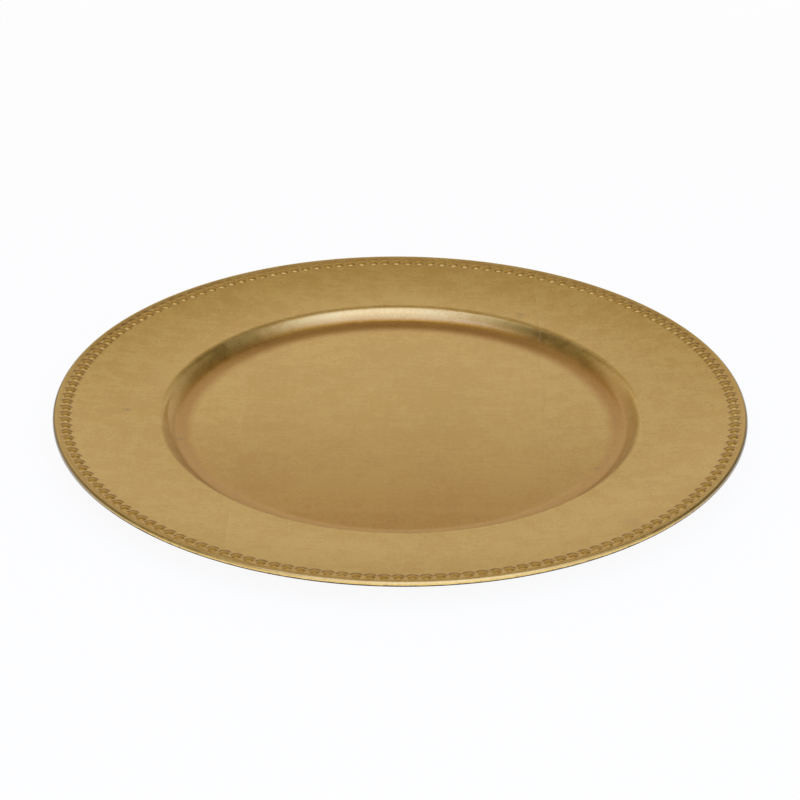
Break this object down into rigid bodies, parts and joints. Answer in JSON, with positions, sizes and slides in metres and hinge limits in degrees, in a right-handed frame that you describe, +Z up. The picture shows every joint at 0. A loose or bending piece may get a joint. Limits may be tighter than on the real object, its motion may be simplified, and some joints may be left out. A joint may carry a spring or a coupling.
{
  "type": "charger plate",
  "caption": "Round gilded charger plate with a shallow well, a wide dished rim, a ring of half beads inside a plain lip, and a foot ring underneath.",
  "frame": {"origin": "centre of the foot ring's resting plane, so z = 0 is the table top", "axes": "+Z up along the plate's axis of revolution; -Y is the front, the side nearest the camera in the picture; the seams of the leaf run along X and Y"},
  "size_m": [0.33, 0.33, 0.016],
  "materials": {
    "core": "moulded, dark reddish brown",
    "leaf_centre": "laid metal leaf, burnished, lacquered",
    "leaf_front": "laid metal leaf, burnished, lacquered",
    "leaf_back": "laid metal leaf, burnished, lacquered",
    "leaf_left": "laid metal leaf, burnished, lacquered",
    "leaf_right": "laid metal leaf, burnished, lacquered",
    "leaf_front_left": "laid metal leaf, burnished, lacquered",
    "leaf_front_right": "laid metal leaf, burnished, lacquered",
    "leaf_back_left": "laid metal leaf, burnished, lacquered",
    "leaf_back_right": "laid metal leaf, burnished, lacquered",
    "edge_leaf": "metal leaf turned over the lip, lacquered",
    "beads": "gilded half beads, lacquered",
    "back_coat": "dark brown lacquer, satin"
  },
  "bodies": {
    "root": {"moulded_core": "core", "leaf_centre": "leaf_centre", "leaf_front": "leaf_front", "leaf_back": "leaf_back", "leaf_left": "leaf_left", "leaf_right": "leaf_right", "leaf_front_left": "leaf_front_left", "leaf_front_right": "leaf_front_right", "leaf_back_left": "leaf_back_left", "leaf_back_right": "leaf_back_right", "edge_leaf": "edge_leaf", "bead_border": "beads", "back_coat": "back_coat"}
  },
  "joints": []
}
